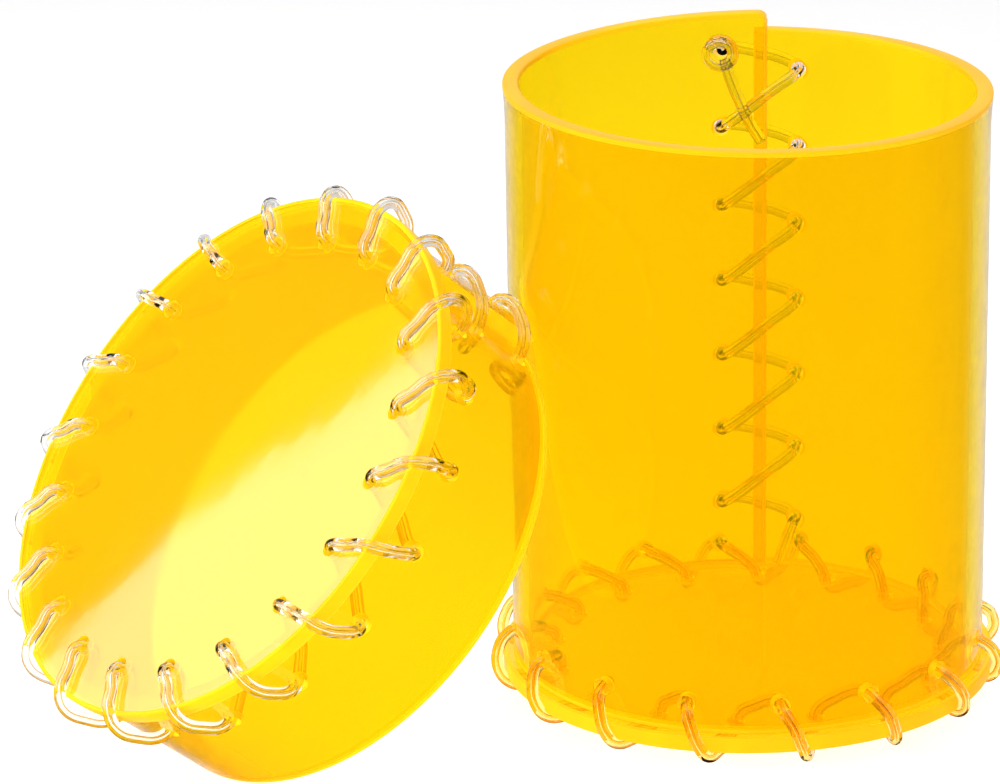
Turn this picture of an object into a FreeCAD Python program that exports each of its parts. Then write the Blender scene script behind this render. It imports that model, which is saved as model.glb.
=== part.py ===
import FreeCAD, Part
import Sketcher
import os
from math import cos, degrees, pi, radians, sin, sqrt, tan

# Laced sheet cup with a loose laced lid leaning on its side.
# The cup and the lid are made the same way: a round disc, and a strip rolled into a
# ring that stands on the disc's inner face, closed by a laced lap seam. A second lace
# whips the ring to the disc. Each is drawn in its own frame: the disc's outer face is
# at height 0, +Z points out of the disc, and the ring stands on the -Z side.

Vector = FreeCAD.Vector
Rotation = FreeCAD.Rotation
Placement = FreeCAD.Placement

doc = FreeCAD.newDocument("laced_cup")

# ---------------------------------------------------------------- driving sizes

SIZES = [
    ("sheet", 3.0, "thickness of the sheet"),
    ("lace", 2.3, "diameter of the lace"),
    ("eyelet", 3.0, "diameter of every lace hole"),
    ("lift", 1.35, "lace axis above the face that it lies on"),
    ("bend", 2.0, "bend radius of the lace at a hole or an edge"),
    ("lap", 2.5, "width of the lap at a seam"),
    ("column", 7.4, "seam holes, from the middle of the seam"),
    ("drop", 4.4, "right seam holes lie this much nearer to the disc"),
    ("seampitch", 15.45, "distance between seam holes along the cup"),
    ("cupradius", 45.0, "outer radius of the cup's ring"),
    ("cupdisc", 47.0, "radius of the cup's disc"),
    ("cuplength", 113.5, "from the disc's outer face to the rim"),
    ("cupmargin", 5.0, "how far a rim cut reaches past the cup's ring"),
    ("cuprise", 4.1, "the rim climbs this much on its way round to the flap"),
    ("cupcircle", 37.2, "radius of the circle of holes in the cup's disc"),
    ("cupholes", 8.6, "ring holes, from the disc's outer face"),
    ("cupstitches", 16, "stitches round the cup's disc"),
    ("cupfirst", 70.75, "angle of the first hole in the cup's disc"),
    ("cupseam", 3.5, "turn of the cup's seam"),
    ("cupseamfirst", 110.2, "first seam hole, from the disc's outer face"),
    ("cupseamholes", 7, "seam holes in each column of the cup"),
    ("lidradius", 51.0, "outer radius of the lid's ring"),
    ("liddisc", 52.6, "radius of the lid's disc"),
    ("lidlength", 33.0, "from the disc's outer face to the lid's mouth"),
    ("lidcircle", 43.5, "radius of the circle of holes in the lid's disc"),
    ("lidholes", 10.7, "ring holes, from the disc's outer face"),
    ("lidstitches", 20, "stitches round the lid's disc"),
    ("lidfirst", 46.6, "angle of the first hole in the lid's disc"),
    ("lidseam", 160.0, "turn of the lid's seam"),
    ("lidseamfirst", 28.5, "first seam hole, from the disc's outer face"),
    ("lidseamholes", 2, "seam holes in each column of the lid"),
    ("lidpitch", 11.5, "distance between seam holes along the lid"),
    ("liddrop", 2.0, "right seam holes of the lid lie this much nearer to the disc"),
    ("lidx", -94.9, "middle of the lid's outer face, across"),
    ("lidy", -43.1, "middle of the lid's outer face, to the front"),
    ("lidheading", -144.0, "heading of the lid's axis"),
    ("lidtilt", 40.0, "tilt of the lid's axis above the table"),
    ("knotring", 2.4, "radius of the turn of lace in the knot"),
]

sheet_cells = doc.addObject("Spreadsheet::Sheet", "sizes")
for row, (alias, value, note) in enumerate(SIZES, start=1):
    sheet_cells.set("A%d" % row, note)
    sheet_cells.set("B%d" % row, str(value))
    sheet_cells.setAlias("B%d" % row, alias)
doc.recompute()


def size(alias):
    """A driving size, read back from the spreadsheet."""
    return float(sheet_cells.get(alias))


SHEET = size("sheet")
LACE = size("lace")
LIFT = size("lift")
BEND = size("bend")
FOOT = LIFT + LACE / 2.0

# ---------------------------------------------------------------- where the two containers stand


def lid_height():
    """Height of the lid's outer face when the lower edge of its mouth is on the table."""
    tilt = radians(size("lidtilt"))
    return size("lidlength") * sin(tilt) + size("lidradius") * cos(tilt)


def lid_placement():
    """The lid leans on the cup: its axis points up and away from the cup."""
    heading = Rotation(Vector(0, 0, 1), size("lidheading") + 90.0)
    tilt = Rotation(Vector(1, 0, 0), 90.0 - size("lidtilt"))
    middle = Vector(size("lidx"), size("lidy"), lid_height())
    return Placement(middle, heading.multiply(tilt))


CUP_PLACE = Placement(Vector(0, 0, FOOT), Rotation(Vector(1, 0, 0), 180))
LID_PLACE = lid_placement()


def seam_turn(prefix):
    """The turn that brings a seam drawn at -Y to its place."""
    return Placement(Vector(0, 0, 0), Rotation(Vector(0, 0, 1), size(prefix + "seam")))


# ---------------------------------------------------------------- sketch helpers


def origin_feature(body, role):
    """The body's own origin plane or axis with this role."""
    for feature in body.Origin.OriginFeatures:
        if feature.Role == role:
            return feature
    raise RuntimeError("no origin feature " + role)


def new_sketch(body, name, role):
    """A sketch on one of the body's origin planes."""
    sketch = body.newObject("Sketcher::SketchObject", name)
    sketch.AttachmentSupport = (origin_feature(body, role), [""])
    sketch.MapMode = "FlatFace"
    return sketch


def bind(sketch, constraint, expression):
    """Add a constraint and drive it from the spreadsheet."""
    index = sketch.addConstraint(constraint)
    sketch.setExpression("Constraints[%d]" % index, expression)


START, END, CENTRE = 1, 2, 3
CUT_LENGTH = 80.0


def add_circle(sketch, x, y, diameter_expression, x_expression, y_expression):
    """A circle held by its middle and its diameter."""
    index = sketch.addGeometry(Part.Circle(Vector(x, y, 0), Vector(0, 0, 1), 1.0), False)
    bind(sketch, Sketcher.Constraint("Diameter", index, 2.0), diameter_expression)
    for kind, value, expression in (
        ("DistanceX", x, x_expression),
        ("DistanceY", y, y_expression),
    ):
        bind(sketch, Sketcher.Constraint(kind, -1, 1, index, CENTRE, value), expression)
    return index


def add_arc(sketch, x, radius, start, end):
    """An arc about a point on the sketch's X axis, from one angle to another."""
    circle = Part.Circle(Vector(x, 0, 0), Vector(0, 0, 1), radius)
    return sketch.addGeometry(Part.ArcOfCircle(circle, radians(start), radians(end)), False)


def add_line(sketch, first, second):
    """A straight line between two points of the sketch."""
    return sketch.addGeometry(Part.LineSegment(first, second), False)


def add_polygon(sketch, corners):
    """A closed outline. Each corner is (x, y, x expression, y expression)."""
    count = len(corners)
    lines = []
    for i, corner in enumerate(corners):
        after = corners[(i + 1) % count]
        lines.append(add_line(
            sketch, Vector(corner[0], corner[1], 0), Vector(after[0], after[1], 0)))
    for i in range(count):
        sketch.addConstraint(
            Sketcher.Constraint("Coincident", lines[i], END, lines[(i + 1) % count], START))
    for i, (x, y, x_expression, y_expression) in enumerate(corners):
        bind(sketch, Sketcher.Constraint("DistanceX", -1, 1, lines[i], START, x), x_expression)
        bind(sketch, Sketcher.Constraint("DistanceY", -1, 1, lines[i], START, y), y_expression)


def cut(body, name, sketch, reversed_side):
    """Cut through everything on one side of the sketch, and check that something went."""
    before = body.Shape.Volume
    pocket = body.newObject("PartDesign::Pocket", name)
    pocket.Profile = sketch
    pocket.Type = "Length"
    pocket.Length = CUT_LENGTH
    pocket.Reversed = reversed_side
    doc.recompute()
    if not body.Shape.Volume < before - 1.0:
        raise RuntimeError(name + " cuts nothing")
    return pocket


def polar(body, name, feature, count_expression):
    """Repeat a cut round the body's Z axis."""
    pattern = body.newObject("PartDesign::PolarPattern", name)
    pattern.Originals = [feature]
    pattern.Axis = (origin_feature(body, "Z_Axis"), [""])
    pattern.Angle = 360.0
    pattern.setExpression("Occurrences", count_expression)
    body.Tip = pattern
    doc.recompute()
    return pattern


# ---------------------------------------------------------------- the sheet pieces


def make_disc(name, prefix, place):
    """A round disc with a circle of lace holes near its edge."""
    body = doc.addObject("PartDesign::Body", name)
    body.Label = name
    outline = new_sketch(body, name + "_outline", "XY_Plane")
    edge = outline.addGeometry(Part.Circle(Vector(0, 0, 0), Vector(0, 0, 1), 10.0), False)
    outline.addConstraint(Sketcher.Constraint("Coincident", edge, CENTRE, -1, 1))
    bind(outline, Sketcher.Constraint("Radius", edge, 10.0), "sizes.%sdisc" % prefix)
    plate = body.newObject("PartDesign::Pad", name + "_plate")
    plate.Profile = outline
    plate.Reversed = True
    plate.setExpression("Length", "sizes.sheet")
    doc.recompute()

    hole = new_sketch(body, name + "_hole", "XY_Plane")
    circle_radius = size(prefix + "circle")
    first = radians(size(prefix + "first"))
    add_circle(
        hole, circle_radius * cos(first), circle_radius * sin(first), "sizes.eyelet",
        "sizes.{0}circle * cos(sizes.{0}first * 1 deg)".format(prefix),
        "sizes.{0}circle * sin(sizes.{0}first * 1 deg)".format(prefix))
    drill = cut(body, name + "_drill", hole, False)
    polar(body, name + "_holes", drill, "sizes.%sstitches" % prefix)
    body.Placement = place
    return body


def pad_strip(body, name, sketch, length_expression):
    """Raise a strip from the disc's inner face towards the mouth."""
    sketch.setExpression("AttachmentOffset.Base.z", "-sizes.sheet")
    strip = body.newObject("PartDesign::Pad", name)
    strip.Profile = sketch
    strip.Reversed = True
    strip.setExpression("Length", length_expression)
    doc.recompute()
    return strip


def draw_main_strip(sketch, prefix):
    """The rolled strip from its outer end at the seam, round to the point opposite +X."""
    radius = size(prefix + "radius")
    half_lap = size("lap") / 2.0
    ends = []
    for r, expression in (
        (radius, "sizes.%sradius" % prefix),
        (radius - SHEET, "sizes.%sradius - sizes.sheet" % prefix),
    ):
        arc = add_arc(sketch, 0.0, r, -90.0 - degrees(half_lap / r), 180.0)
        sketch.addConstraint(Sketcher.Constraint("Coincident", arc, CENTRE, -1, 1))
        bind(sketch, Sketcher.Constraint("Radius", arc, r), expression)
        sketch.addConstraint(Sketcher.Constraint("PointOnObject", arc, END, -1))
        ends.append(arc)
    outer, inner = ends
    seam_end = add_line(
        sketch, Vector(-half_lap, -radius, 0), Vector(-half_lap, SHEET - radius, 0))
    join = add_line(sketch, Vector(-radius, 0, 0), Vector(SHEET - radius, 0, 0))
    for line, point in ((seam_end, START), (join, END)):
        sketch.addConstraint(Sketcher.Constraint("Coincident", line, START, outer, point))
        sketch.addConstraint(Sketcher.Constraint("Coincident", line, END, inner, point))
    for arc in (outer, inner):
        bind(sketch, Sketcher.Constraint("DistanceX", -1, 1, arc, START, -half_lap),
             "-sizes.lap / 2")


def draw_flap(sketch, prefix):
    """The last quarter of the strip, which draws in by one thickness and ends inside."""
    radius = size(prefix + "radius") - SHEET
    half_lap = size("lap") / 2.0
    arcs = []
    for r, expression in (
        (radius, "sizes.%sradius - sizes.sheet" % prefix),
        (radius - SHEET, "sizes.%sradius - 2 * sizes.sheet" % prefix),
    ):
        end = 270.0 + degrees((half_lap + SHEET) / r)
        arc = add_arc(sketch, -SHEET, r, 180.0, end)
        sketch.addConstraint(Sketcher.Constraint("PointOnObject", arc, CENTRE, -1))
        bind(sketch, Sketcher.Constraint("DistanceX", -1, 1, arc, CENTRE, -SHEET),
             "-sizes.sheet")
        bind(sketch, Sketcher.Constraint("Radius", arc, r), expression)
        sketch.addConstraint(Sketcher.Constraint("PointOnObject", arc, START, -1))
        bind(sketch, Sketcher.Constraint("DistanceX", -1, 1, arc, END, half_lap),
             "sizes.lap / 2")
        arcs.append(arc)
    outer, inner = arcs
    join = add_line(
        sketch, Vector(-SHEET - radius, 0, 0), Vector(-radius, 0, 0))
    tip = add_line(sketch, Vector(half_lap, -radius, 0), Vector(half_lap, SHEET - radius, 0))
    for line, point in ((join, START), (tip, END)):
        sketch.addConstraint(Sketcher.Constraint("Coincident", line, START, outer, point))
        sketch.addConstraint(Sketcher.Constraint("Coincident", line, END, inner, point))


# A rim cut reaches a little past the ring, and well beyond the highest point of its rim.
REACH = size("cupradius") + size("cupmargin")
REACH_TEXT = "(sizes.cupradius + sizes.cupmargin)"
FAR = size("cuplength") + 4.0 * size("cuprise")
FAR_TEXT = "-(sizes.cuplength + 4 * sizes.cuprise)"


def slope_edge(middle, slope, middle_text, slope_text):
    """The two ends of a rim cut that slopes up towards -X."""
    return [
        (REACH, -(middle - slope * REACH),
         REACH_TEXT, "-(%s - %s * %s)" % (middle_text, slope_text, REACH_TEXT)),
        (-REACH, -(middle + slope * REACH),
         "-" + REACH_TEXT, "-(%s + %s * %s)" % (middle_text, slope_text, REACH_TEXT)),
    ]


FAR_CORNERS = [(-REACH, -FAR, "-" + REACH_TEXT, FAR_TEXT), (REACH, -FAR, REACH_TEXT, FAR_TEXT)]


def trim_rim(body, name):
    """Cut the cup's rim so that it climbs steadily round to the flap."""
    length = size("cuplength")
    rise = size("cuprise")
    front = new_sketch(body, name + "_front_rim", "XZ_Plane")
    add_polygon(front, slope_edge(
        length + rise / 4.0, rise / 4.0 / size("cupradius"),
        "sizes.cuplength + sizes.cuprise / 4", "sizes.cuprise / 4 / sizes.cupradius",
    ) + FAR_CORNERS)
    cut(body, name + "_front_trim", front, False)

    back = new_sketch(body, name + "_back_rim", "XZ_Plane")
    inset_text = "-(sizes.cupradius / 2)"
    inset = -size("cupradius") / 2.0
    add_polygon(back, [
        (REACH, -length, REACH_TEXT, "-sizes.cuplength"),
        (inset, -length, inset_text, "-sizes.cuplength"),
        (inset, -FAR, inset_text, FAR_TEXT),
        (REACH, -FAR, REACH_TEXT, FAR_TEXT),
    ])
    cut(body, name + "_back_trim", back, True)


def trim_flap(body, name):
    """Slope the top of the flap, which ends highest at the seam."""
    rise = size("cuprise")
    top = new_sketch(body, name + "_flap_rim", "XZ_Plane")
    add_polygon(top, slope_edge(
        size("cuplength") + rise, -rise / 2.0 / size("cupradius"),
        "sizes.cuplength + sizes.cuprise", "(-sizes.cuprise / 2 / sizes.cupradius)",
    ) + FAR_CORNERS)
    cut(body, name + "_flap_trim", top, True)


def drill_seam(body, name, prefix, pitch, drop):
    """Two columns of lace holes beside the seam."""
    column = size("column")
    first = size(prefix + "seamfirst")
    sketch = new_sketch(body, name + "_seam_holes", "XZ_Plane")
    add_circle(
        sketch, -column, -first, "sizes.eyelet", "-sizes.column",
        "-sizes.%sseamfirst" % prefix)
    add_circle(
        sketch, column, size(drop) - first, "sizes.eyelet", "sizes.column",
        "sizes.%s - sizes.%sseamfirst" % (drop, prefix))
    drill = cut(body, name + "_seam_drill", sketch, True)
    pattern = body.newObject("PartDesign::LinearPattern", name + "_seam_rows")
    pattern.Originals = [drill]
    pattern.Direction = (origin_feature(body, "Z_Axis"), [""])
    pattern.setExpression("Length", "sizes.%s * (sizes.%sseamholes - 1)" % (pitch, prefix))
    pattern.setExpression("Occurrences", "sizes.%sseamholes" % prefix)
    body.Tip = pattern
    doc.recompute()


def drill_ring(body, name, prefix):
    """The row of lace holes beside the disc."""
    turn = ring_hole_angle(prefix, 0) - size(prefix + "seam") - 90.0
    sketch = new_sketch(body, name + "_ring_hole", "XZ_Plane")
    sketch.AttachmentOffset = Placement(Vector(0, 0, 0), Rotation(Vector(0, 1, 0), turn))
    add_circle(
        sketch, 0.0, -size(prefix + "holes"), "sizes.eyelet", "0",
        "-sizes.%sholes" % prefix)
    drill = cut(body, name + "_ring_drill", sketch, False)
    polar(body, name + "_ring_holes", drill, "sizes.%sstitches" % prefix)


def make_wall(name, prefix, place):
    """A strip of sheet rolled into a ring, lapped at the seam and drilled for its laces."""
    body = doc.addObject("PartDesign::Body", name)
    body.Label = name
    length_text = "sizes.%slength - sizes.sheet" % prefix
    rises = prefix == "cup"
    if rises:
        length_text += " + sizes.cuprise"
    main = new_sketch(body, name + "_main_outline", "XY_Plane")
    draw_main_strip(main, prefix)
    pad_strip(body, name + "_main_strip", main, length_text)
    if rises:
        trim_rim(body, name)
    flap = new_sketch(body, name + "_flap_outline", "XY_Plane")
    draw_flap(flap, prefix)
    pad_strip(body, name + "_flap_strip", flap, length_text)
    if rises:
        trim_flap(body, name)
        drill_seam(body, name, prefix, "seampitch", "drop")
    else:
        drill_seam(body, name, prefix, "lidpitch", "liddrop")
    drill_ring(body, name, prefix)
    body.Placement = place.multiply(seam_turn(prefix))
    return body


# ---------------------------------------------------------------- lace helpers


def disc_hole_angle(prefix, index):
    """Angle of a hole in the disc."""
    return size(prefix + "first") + index * 360.0 / size(prefix + "stitches")


def ring_hole_angle(prefix, index):
    """Each ring hole is half a pitch further round than its disc hole."""
    return disc_hole_angle(prefix, index) + 180.0 / size(prefix + "stitches")


def wall_outside(prefix, angle):
    """Radius of the ring's outer face at an angle. It draws in along the flap."""
    radius = size(prefix + "radius")
    local = (angle - size(prefix + "seam")) % 360.0
    if not 180.0 < local < 270.0:
        return radius
    side = SHEET * sin(radians(local))
    return -SHEET * cos(radians(local)) + sqrt((radius - SHEET) ** 2 - side ** 2)


def polar_point(radius, angle, height):
    """A point from its radius, its angle in degrees and its height."""
    return Vector(radius * cos(radians(angle)), radius * sin(radians(angle)), height)


BEND_SHARE = 0.45      # the most of a run that a bend at its end may take
VOLUME_SLIP = 0.01     # allowed between a lace's volume and its section times its length


def lace_path(points, bend):
    """Straight runs joined by tangent arcs of the bend radius."""
    edges = []
    here = points[0]
    for before, corner, after in zip(points, points[1:], points[2:]):
        back = (before - corner).normalize()
        ahead = (after - corner).normalize()
        half_turn = (pi - back.getAngle(ahead)) / 2.0
        room = BEND_SHARE * min((before - corner).Length, (after - corner).Length)
        radius = min(bend, room / tan(half_turn))
        reach = radius * tan(half_turn)
        enter = corner + back * reach
        leave = corner + ahead * reach
        towards = (back + ahead).normalize()
        middle = corner + towards * (radius / cos(half_turn) - radius)
        edges.append(Part.LineSegment(here, enter).toShape())
        edges.append(Part.Arc(enter, middle, leave).toShape())
        here = leave
    edges.append(Part.LineSegment(here, points[-1]).toShape())
    return Part.Wire(edges)


def lace_solid(points, bend=None):
    """One length of lace, checked against its section times its length."""
    path = lace_path(points, BEND if bend is None else bend)
    direction = points[1] - points[0]
    section = Part.Wire([Part.Circle(points[0], direction, LACE / 2.0).toShape()])
    solid = path.makePipeShell([section], True, False)
    expected = pi * LACE ** 2 / 4.0 * path.Length
    if not solid.isValid() or abs(solid.Volume / expected - 1.0) > VOLUME_SLIP:
        raise RuntimeError("lace volume %.2f, expected %.2f" % (solid.Volume, expected))
    return solid


def lace_feature(name, solids, place):
    """A lace: its lengths meet face to face."""
    feature = doc.addObject("Part::Feature", name)
    feature.Label = name
    feature.Shape = solids[0] if len(solids) == 1 else Part.makeCompound(solids)
    feature.Placement = place
    return feature


# ---------------------------------------------------------------- the laces


def rim_stitch(prefix, index):
    """Corners of one whip stitch, from inside the disc hole to inside the next one."""
    through = SHEET + LIFT
    hole = disc_hole_angle(prefix, index)
    ring = ring_hole_angle(prefix, index)
    edge = (hole + ring) / 2.0
    following = disc_hole_angle(prefix, index + 1)
    inset = size(prefix + "circle")
    outside = size(prefix + "disc") + LIFT
    ring_face = wall_outside(prefix, ring)
    depth = size(prefix + "holes")
    return [
        polar_point(inset, hole, -through),
        polar_point(inset, hole, LIFT),
        polar_point(outside, edge, LIFT),
        polar_point(outside, edge, -SHEET / 2.0),
        polar_point(ring_face + LIFT, ring, -depth),
        polar_point(ring_face - SHEET - LIFT, ring, -depth),
        polar_point(inset, following, -through),
    ]


def rim_lace(name, prefix, place):
    """A whip-stitched lace round the disc. Each length ends half way along an inner run."""
    count = int(size(prefix + "stitches"))
    stitches = [rim_stitch(prefix, index) for index in range(count)]
    solids = []
    for index, corners in enumerate(stitches):
        before = stitches[index - 1]
        start = (before[-2] + before[-1]) * 0.5
        finish = (corners[-2] + corners[-1]) * 0.5
        solids.append(lace_solid([start] + corners[:-1] + [finish]))
    return lace_feature(name, solids, place)


LEAN = 1.0          # an outer run crosses the lap this much nearer to the seam's middle
CROSSING = 0.4      # and at this share of its fall
CLIMB = 1.2         # an inner run has climbed this much where it passes the lap


def seam_corners(prefix, height, drop):
    """Corners of one seam stitch: out through the flap, over the lap, in at the other side."""
    column = size("column")
    half_lap = size("lap") / 2.0
    radius = size(prefix + "radius")
    flap = radius - SHEET
    left = sqrt(flap ** 2 - (SHEET - column) ** 2)
    right = sqrt(radius ** 2 - column ** 2)
    step = half_lap + LACE / 2.0
    return [
        Vector(-column, -(left - SHEET - LIFT), height),
        Vector(-column, -(left + LIFT), height),
        Vector(LEAN - step, -(radius + LIFT), height + CROSSING * drop),
        Vector(column, -(right + LIFT), height + drop),
        Vector(column, -(right - SHEET - LIFT), height + drop),
        Vector(step, -(flap - SHEET - LIFT), height + drop + CLIMB),
    ]


def seam_lace(name, prefix, place, pitch, drop, tail):
    """The seam's zigzag lace, from the knot near the mouth towards the disc."""
    count = int(size(prefix + "seamholes"))
    first = -size(prefix + "seamfirst")
    stitches = [seam_corners(prefix, first + row * pitch, drop) for row in range(count)]
    solids = []
    for row, corners in enumerate(stitches):
        start = [corners[0] + Vector(0, LACE / 2.0, 0)]
        if row:
            start = [(stitches[row - 1][-1] + corners[0]) * 0.5, corners[0]]
        finish = tail
        if row + 1 < count:
            finish = [corners[-1], (corners[-1] + stitches[row + 1][0]) * 0.5]
        solids.append(lace_solid(start + corners[1:-1] + finish))
    return lace_feature(name, solids, place.multiply(seam_turn(prefix)))


def knot(name, prefix, place):
    """A turn of lace round the lace's own end, on the flap beside the first seam hole."""
    column = size("column")
    flap = size(prefix + "radius") - SHEET
    face = sqrt(flap ** 2 - (SHEET - column) ** 2) - SHEET
    centre = Vector(-column, -(face - LACE / 2.0), -size(prefix + "seamfirst"))
    torus = doc.addObject("Part::Torus", name)
    torus.Label = name
    torus.setExpression("Radius1", "sizes.knotring")
    torus.setExpression("Radius2", "sizes.lace / 2")
    upright = Placement(centre, Rotation(Vector(1, 0, 0), 90))
    torus.Placement = place.multiply(seam_turn(prefix)).multiply(upright)
    return torus


# The cup's seam lace ends in the corner beside the disc.
CUP_SEAM_END = [Vector(4.6, -39.0, -9.6), Vector(3.9, -38.2, -4.8)]

# Its other end hangs a little way down the inside from the knot, over the first inner run.
KNOT_HEIGHT = -size("cupseamfirst")
CUP_TAIL = [
    Vector(-6.2, -36.9, KNOT_HEIGHT + 2.3),
    Vector(-4.8, -35.4, KNOT_HEIGHT + 6.1),
    Vector(-2.6, -34.9, KNOT_HEIGHT + 11.3),
    Vector(0.6, -35.2, KNOT_HEIGHT + 17.1),
]

TAIL_BEND = 3.0 * LACE

# ---------------------------------------------------------------- the whole object

parts = [
    make_disc("cup_base_disc", "cup", CUP_PLACE),
    make_wall("cup_wall", "cup", CUP_PLACE),
    rim_lace("cup_base_lace", "cup", CUP_PLACE),
    seam_lace("cup_seam_lace", "cup", CUP_PLACE, size("seampitch"), size("drop"),
              CUP_SEAM_END),
    knot("cup_seam_knot", "cup", CUP_PLACE),
    lace_feature("cup_seam_tail", [lace_solid(CUP_TAIL, TAIL_BEND)],
                 CUP_PLACE.multiply(seam_turn("cup"))),
    make_disc("lid_disc", "lid", LID_PLACE),
    make_wall("lid_wall", "lid", LID_PLACE),
    rim_lace("lid_rim_lace", "lid", LID_PLACE),
    seam_lace("lid_seam_lace", "lid", LID_PLACE, size("lidpitch"), size("liddrop"), []),
    knot("lid_seam_knot", "lid", LID_PLACE),
]

doc.recompute()

for item in doc.Objects:
    if "Invalid" in item.State or "Error" in item.State:
        raise RuntimeError("%s: %s" % (item.Name, item.State))

os.makedirs("parts", exist_ok=True)
for part in parts:
    shape = part.Shape
    if shape.isNull() or not shape.isValid():
        raise RuntimeError(part.Label + " has no valid shape")
    shape.exportStep(os.path.join("parts", part.Label + ".step"))
    print("%-16s %2d solids %10.1f mm3" % (part.Label, len(shape.Solids), shape.Volume))
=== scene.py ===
import math

import bpy
import numpy as np
from mathutils import Matrix, Vector


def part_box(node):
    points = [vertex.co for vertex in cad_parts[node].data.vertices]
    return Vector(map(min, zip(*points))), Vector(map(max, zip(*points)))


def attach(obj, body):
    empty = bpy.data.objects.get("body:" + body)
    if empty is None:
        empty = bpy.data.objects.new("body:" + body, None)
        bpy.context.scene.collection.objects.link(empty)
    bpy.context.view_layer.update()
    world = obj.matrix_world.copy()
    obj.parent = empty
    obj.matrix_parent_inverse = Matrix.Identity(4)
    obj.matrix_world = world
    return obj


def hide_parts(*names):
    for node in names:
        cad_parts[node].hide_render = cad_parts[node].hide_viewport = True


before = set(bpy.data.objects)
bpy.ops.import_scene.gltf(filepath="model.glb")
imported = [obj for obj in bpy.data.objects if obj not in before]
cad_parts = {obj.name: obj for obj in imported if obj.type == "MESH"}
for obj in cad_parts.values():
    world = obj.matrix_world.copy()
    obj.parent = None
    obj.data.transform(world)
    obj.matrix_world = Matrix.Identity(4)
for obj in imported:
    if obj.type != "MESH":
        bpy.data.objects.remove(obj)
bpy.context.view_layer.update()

# ---------------------------------------------------------------- sizes, in metres

MM = 0.001
SHEET = 3.0 * MM            # thickness of the soft plastic sheet
LACE = 2.3 * MM             # diameter of the clear lace
EYELET = 3.0 * MM           # diameter of the punched holes
LIFT = 1.35 * MM            # lace axis above the face that it lies on
HALF_LAP = 1.25 * MM        # half the width of the lap at a seam
COLUMN = 7.4 * MM           # seam holes, from the middle of the seam
CUT_ROUND = 0.35 * MM       # rounding of every cut edge
BROKEN_EDGE = 0.22 * MM     # slope at both ends of a punched hole
SEAT_GAP = 0.08 * MM        # between a ring's lower edge and its disc
FLARE_REACH = 8.0 * MM      # the cup's flare starts this far below its rim
ROW_SPACING = 2.6 * MM      # between the rows of a ring's mesh
KNOT_RADIUS = 2.4 * MM
RIM_SLACK, SEAM_SLACK = 0.28 * MM, 0.20 * MM    # how much the stitches differ

# The two containers. rise: the rim climbs this much round to the flap. flare: the rim
# stands out this much. tip: rounding of the flap's corner. stand: how far a stitch stands
# off the disc's edge, in lifts. circle: radius of the disc's row of holes. depth: the
# ring's row of holes, from the disc's outer face. first, seam: angles in degrees of the
# first disc hole and of the seam. The last four place the seam's rows of holes.
CUP = dict(
    radius=45.0 * MM, disc=47.0 * MM, length=113.5 * MM, rise=4.1 * MM,
    flare=0.4 * MM, tip=1.8 * MM, stand=0.98,
    circle=37.2 * MM, depth=8.6 * MM, stitches=16, first=70.75, seam=3.5,
    rows=7, seam_first=110.2 * MM, pitch=15.45 * MM, drop=4.4 * MM)
LID = dict(
    radius=51.0 * MM, disc=52.6 * MM, length=33.0 * MM, rise=0.0, flare=0.0, tip=0.0, stand=1.5,
    circle=43.5 * MM, depth=10.7 * MM, stitches=20, first=46.6, seam=160.0,
    rows=2, seam_first=28.5 * MM, pitch=11.5 * MM, drop=2.0 * MM)

LID_HEADING, LID_TILT = math.radians(-144.0), math.radians(40.0)


def middle_of(node):
    low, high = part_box(node)
    return (low + high) / 2


def cup_place():
    """From the cup's own frame, with its disc's outer face at height 0, to the table."""
    low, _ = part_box("cup_base_disc")
    middle = middle_of("cup_base_disc")
    return Matrix.Translation((middle.x, middle.y, low.z)) @ Matrix.Rotation(math.pi, 4, "X")


def lid_place():
    """The same for the lid, which leans on the cup."""
    turn = (Matrix.Rotation(LID_HEADING + math.pi / 2, 4, "Z")
            @ Matrix.Rotation(math.pi / 2 - LID_TILT, 4, "X"))
    outwards = turn @ Vector((0, 0, 1))
    return Matrix.Translation(middle_of("lid_disc") + outwards * (SHEET / 2)) @ turn


def seam_turn(piece):
    return Matrix.Rotation(math.radians(piece["seam"]), 4, "Z")


CUP_PLACE, LID_PLACE = cup_place(), lid_place()

# ---------------------------------------------------------------- node helpers


def put(tree, kind, *links, **settings):
    """A node with its settings, and its inputs in order: sockets, plain values or None."""
    node = tree.nodes.new(kind)
    for name, value in settings.items():
        setattr(node, name, value)
    for index, value in enumerate(links):
        feed(tree, node.inputs[index], value)
    return node


def feed(tree, socket, value):
    """Wire a socket to another one, or give it a plain value."""
    if isinstance(value, bpy.types.NodeSocket):
        tree.links.new(value, socket)
    elif value is not None:
        socket.default_value = value


def sum_of(tree, operation, *values):
    """One Math node."""
    return put(tree, "ShaderNodeMath", *values, operation=operation).outputs[0]


def new_tree(name, sizes):
    """A geometry tree with named inputs, and its group input's sockets by name."""
    tree = bpy.data.node_groups.new(name, "GeometryNodeTree")
    tree.interface.new_socket("Geometry", in_out="OUTPUT", socket_type="NodeSocketGeometry")
    for label, kind in sizes:
        tree.interface.new_socket(label, in_out="INPUT", socket_type="NodeSocket" + kind)
    start = tree.nodes.new("NodeGroupInput")
    return tree, {socket.name: socket for socket in start.outputs if socket.name}


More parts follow.
